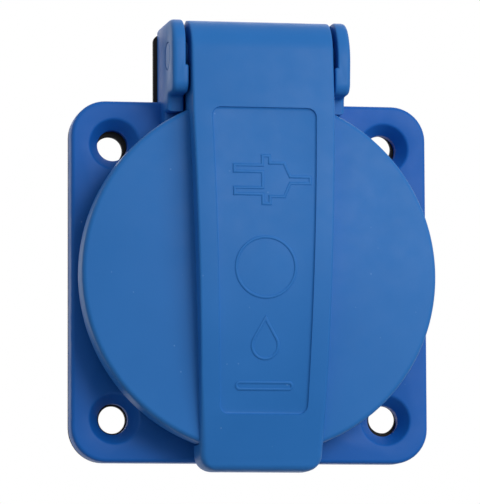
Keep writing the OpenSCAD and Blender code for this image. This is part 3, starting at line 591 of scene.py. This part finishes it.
coil_r, coil_x, coil_turns, wire_r = 2.6, 4.2, 7, 0.35
foot, leg = np.array([-5.53, -4.5]), np.array([-6.6, 0.3])
coil_start = math.atan2(foot[0], foot[1]) + math.acos(coil_r / np.linalg.norm(foot))
coil_end = math.atan2(leg[0], leg[1]) - math.acos(coil_r / np.linalg.norm(leg)) + coil_turns * 2 * math.pi
coil_turn = np.linspace(coil_start, coil_end, 48 * coil_turns)
coil_run = np.linspace(-coil_x, coil_x, len(coil_turn))
coil = np.stack([coil_run, coil_r * np.sin(coil_turn), coil_r * np.cos(coil_turn)], 1)
leg_steps = np.linspace(0, 1, 9)[:, None]
first_leg = np.array([-coil_x, *foot]) * (1 - leg_steps) + coil[0] * leg_steps
last_leg = coil[-1] * (1 - leg_steps) + np.array([coil_x, *leg]) * leg_steps
wire_path = np.concatenate([first_leg[:-1], coil, last_leg[1:]]) + [0, hinge_y, hinge_z]


def tube(path, radius, around=12):
    """A round wire about a path: each ring stands square to the path's run, with closed ends."""
    run = np.gradient(path, axis=0)
    run /= np.linalg.norm(run, axis=1)[:, None]
    side = np.cross(run, [1.0, 0, 0])
    side /= np.linalg.norm(side, axis=1)[:, None]
    ahead = np.cross(side, run)
    turn = np.linspace(0, 2 * np.pi, around, endpoint=False)[None, :, None]
    points = path[:, None] + radius * (np.cos(turn) * side[:, None] + np.sin(turn) * ahead[:, None])
    last = (len(path) - 1) * around
    ends = [list(range(around))[::-1], list(range(last, last + around))]
    return points.reshape(-1, 3), ring_faces(len(path), around).tolist() + ends


spring = piece("steel_spring", tube(wire_path, wire_r))
dress(spring, spring_steel, "spring_steel", None, "closing_spring", crease=60)
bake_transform(spring)


# Contact carrier: a black moulding plugged into the housing's skirt, with rooms for the live parts.
# Two self-cutting screws hold it to the housing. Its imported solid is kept, with its edges broken.
def keep(node, paint, width):
    """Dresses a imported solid: welds it, breaks its sharp edges by a width in metres, evens the shading."""
    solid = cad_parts[node]
    solid.data.materials.clear()
    solid.data.materials.append(paint)
    solid.modifiers.new("weld", "WELD").merge_threshold = 1e-6
    broken = solid.modifiers.new("broken_edges", "BEVEL")
    broken.width = width
    broken.segments = 2
    broken.limit_method = "ANGLE"
    broken.angle_limit = math.radians(40)
    solid.modifiers.new("even_shading", "WEIGHTED_NORMAL")


black_plastic = finish("black_plastic", Specular_IOR_Level=0.25)
carrier_cloud = noise(black_plastic, 70, 3)
carrier_grain = noise(black_plastic, 3800, 3)
onto(black_plastic,
     Base_Color=ramp(black_plastic, carrier_cloud,
                     (0.32, (0.020, 0.020, 0.022)), (0.68, (0.030, 0.030, 0.032))),
     Roughness=spread(black_plastic, carrier_grain, 0.46, 0.58),
     Normal=grain(black_plastic, carrier_grain, 0.00002, 0.3))
keep("contact_carrier", black_plastic, 0.00018)


# Contacts: two forks of rolled bronze that take the plug's pins, each hugged by a steel clip.
# They stand in the carrier's rooms behind the pin holes.
bronze = finish("bronze", Metallic=1.0)
bronze_roll = noise(bronze, 420, 4, (1, 0.12, 1))
onto(bronze,
     Base_Color=ramp(bronze, bronze_roll, (0.3, (0.52, 0.29, 0.13)), (0.7, (0.64, 0.38, 0.18))),
     Roughness=spread(bronze, bronze_roll, 0.26, 0.42))
for pole in ("line", "neutral"):
    keep(pole + "_contact", bronze, 0.00008)
    keep(pole + "_contact_clip", spring_steel, 0.00006)


# Terminals: three brass blocks in the carrier, each with a wire bore and a zinc-plated clamping screw.
# The screws are reached through holes in the carrier's rear.
brass = finish("brass", Metallic=1.0)
brass_mill = noise(brass, 600, 4, (1, 0.2, 1))
onto(brass,
     Base_Color=ramp(brass, brass_mill, (0.3, (0.64, 0.45, 0.16)), (0.7, (0.76, 0.56, 0.24))),
     Roughness=spread(brass, brass_mill, 0.24, 0.38))
zinc_plate = finish("zinc_plate", Metallic=1.0)
zinc_bloom = noise(zinc_plate, 800, 3)
onto(zinc_plate,
     Base_Color=ramp(zinc_plate, zinc_bloom, (0.3, (0.56, 0.58, 0.61)), (0.7, (0.68, 0.69, 0.71))),
     Roughness=spread(zinc_plate, zinc_bloom, 0.26, 0.42))
for pole in ("line", "neutral", "earth"):
    keep(pole + "_terminal", brass, 0.00015)
    keep(pole + "_screw", zinc_plate, 0.00012)


# Carrier screws: two zinc-plated self-cutting screws with cross slots.
# They are sunk in the carrier's rear and hold it to the housing's bosses.
for place in ("upper", "lower"):
    keep("carrier_screw_" + place, zinc_plate, 0.00012)


# Earth strap: one nickel-plated brass strip bent into a deep U, held in a slot of the carrier.
# Its ends come up through the well's floor as spring clips for the plug's earth.
def eased(path, times):
    """An open path with its corners cut: each corner gives way to points a quarter along both its edges."""
    for _ in range(times):
        near, far = path[:-1], path[1:]
        cut = np.stack([0.75 * near + 0.25 * far, 0.25 * near + 0.75 * far], 1).reshape(-1, 2)
        path = np.concatenate([path[:1], cut, path[-1:]])
    return path


def strip(path, thickness, step=0.3):
    """Closed outline of a strip seen from its edge: points spread evenly along the path, then moved to both
    sides by half the thickness."""
    along = np.concatenate([[0], np.cumsum(np.linalg.norm(np.diff(path, axis=0), axis=1))])
    place = np.linspace(0, along[-1], int(along[-1] / step) + 1)
    path = np.stack([np.interp(place, along, path[:, 0]), np.interp(place, along, path[:, 1])], 1)
    run = np.gradient(path, axis=0)
    side = np.stack([-run[:, 1], run[:, 0]], 1) / np.linalg.norm(run, axis=1)[:, None] * thickness / 2
    return np.concatenate([path - side, (path + side)[::-1]])


nickel_plate = finish("nickel_plate", Metallic=1.0)
nickel_roll = noise(nickel_plate, 380, 4, (1, 0.12, 1))
onto(nickel_plate,
     Base_Color=ramp(nickel_plate, nickel_roll, (0.3, (0.60, 0.57, 0.50)), (0.7, (0.72, 0.69, 0.62))),
     Roughness=spread(nickel_plate, nickel_roll, 0.22, 0.36))

earth_t, earth_half, run_y, base_z, bend_r, clip_top, clip_r = 0.8, 3.0, 18.8, -19.4, 1.1, 2.8, 1.0
clip_bend = arc((run_y - clip_r, clip_top), clip_r, 0, 150, 14)
clip_nose = [(run_y - 3.0, clip_top - 4.2), (run_y - 2.9, clip_top - 5.6), (run_y - 1.9, clip_top - 8.0)]
upper = np.concatenate([
    [(8.0, base_z), (16.0, base_z)], arc((run_y - bend_r, base_z + bend_r), bend_r, -90, 0, 8),
    clip_bend, eased(np.concatenate([clip_bend[-1:], clip_nose]), 3)[1:]])
earth_path = np.concatenate([upper[::-1] * [-1, 1], upper])
earth_edge = round_edge(-earth_half, earth_half, 0.12, 0.12, 2)
earth = piece("earth_strap", across(plate((strip(earth_path, earth_t), earth_edge))))
dress(earth, nickel_plate, "nickel_plated_brass", "housing", "earth_bracket")


# Floor, light and camera: a pale floor well below, soft lamps ahead, to the right and behind, and white
# surroundings that are the background and, weakened, fill the shadows.
# The camera has a long lens and stands a little to the left and below.
def lamp(name, place, aim, size, power):
    """A square soft lamp that faces a point."""
    light = bpy.data.lights.new(name, "AREA")
    light.size = size
    light.energy = power
    made = bpy.data.objects.new(name, light)
    facing = (Vector(aim) - Vector(place)).to_track_quat("-Z", "Y").to_matrix().to_4x4()
    made.matrix_world = Matrix.Translation(place) @ facing
    bpy.context.scene.collection.objects.link(made)


middle = (0, 0, 0.004)
lamp("front_lamp", (0.155, -0.558, 0.159), middle, 0.2, 1.0)
lamp("right_lamp", (0.362, -0.454, 0.159), middle, 0.3, 0.95)
lamp("back_lamp", (0.1, 0.6, 0.35), middle, 0.5, 0.8)


def in_view(tree):
    """1 for rays that end at the camera, straight or by way of metal and glass, 0 for light on things."""
    rays = tree.nodes.new("ShaderNodeLightPath")
    shown = rays.outputs["Is Camera Ray"]
    for ray in ("Is Glossy Ray", "Is Transmission Ray"):
        either = tree.nodes.new("ShaderNodeMath")
        either.operation = "MAXIMUM"
        tree.links.new(shown, either.inputs[0])
        tree.links.new(rays.outputs[ray], either.inputs[1])
        shown = either.outputs["Value"]
    return shown


world = bpy.data.worlds.new("studio")
bpy.context.scene.world = world
world.use_nodes = True
sky = world.node_tree.nodes["Background"]
sky.inputs["Color"].default_value = (1, 1, 1, 1)
strength = world.node_tree.nodes.new("ShaderNodeMapRange")
strength.inputs["To Min"].default_value = 0.46
strength.inputs["To Max"].default_value = 1.0
world.node_tree.links.new(in_view(world.node_tree), strength.inputs["Value"])
world.node_tree.links.new(strength.outputs["Result"], sky.inputs["Strength"])

floor_z = -0.09
bpy.ops.mesh.primitive_grid_add(size=6, location=(0, 0, floor_z))
studio_floor = bpy.context.object
studio_floor.name = "studio_floor"
floor_paint = finish("floor_paint", Roughness=0.9, Specular_IOR_Level=0.1, Emission_Color=(1, 1, 1, 1))
floor_cloud = noise(floor_paint, 3)
floor_share = add(floor_paint, "ShaderNodeMath", [(in_view(floor_paint.node_tree), 0)])
floor_share.operation = "MULTIPLY"
floor_share.inputs[1].default_value = 0.72
onto(floor_paint,
     Base_Color=ramp(floor_paint, floor_cloud, (0.3, (0.28, 0.28, 0.28)), (0.7, (0.31, 0.31, 0.31))),
     Emission_Strength=floor_share.outputs["Value"])
studio_floor.data.materials.append(floor_paint)

focal_px, image_high, sensor = 4039.0, 504, 36.0
yaw, pitch, roll = (math.radians(angle) for angle in (10.217, 5.813, -0.218))
distance = 0.55996
target = Vector((-0.001432, -0.0043, 0.004233))
back = Vector((-math.sin(yaw) * math.cos(pitch), -math.cos(yaw) * math.cos(pitch), -math.sin(pitch)))
facing = back.to_track_quat("Z", "Y").to_matrix().to_4x4()
camera = bpy.data.objects.new("camera", bpy.data.cameras.new("camera"))
camera.data.sensor_width = sensor
camera.data.lens = focal_px * sensor / image_high
camera.data.clip_start = 0.01
camera.matrix_world = Matrix.Translation(target + distance * back) @ facing @ Matrix.Rotation(roll, 4, "Z")
bpy.context.scene.collection.objects.link(camera)
bpy.context.scene.camera = camera
bpy.context.scene.view_settings.view_transform = "Standard"
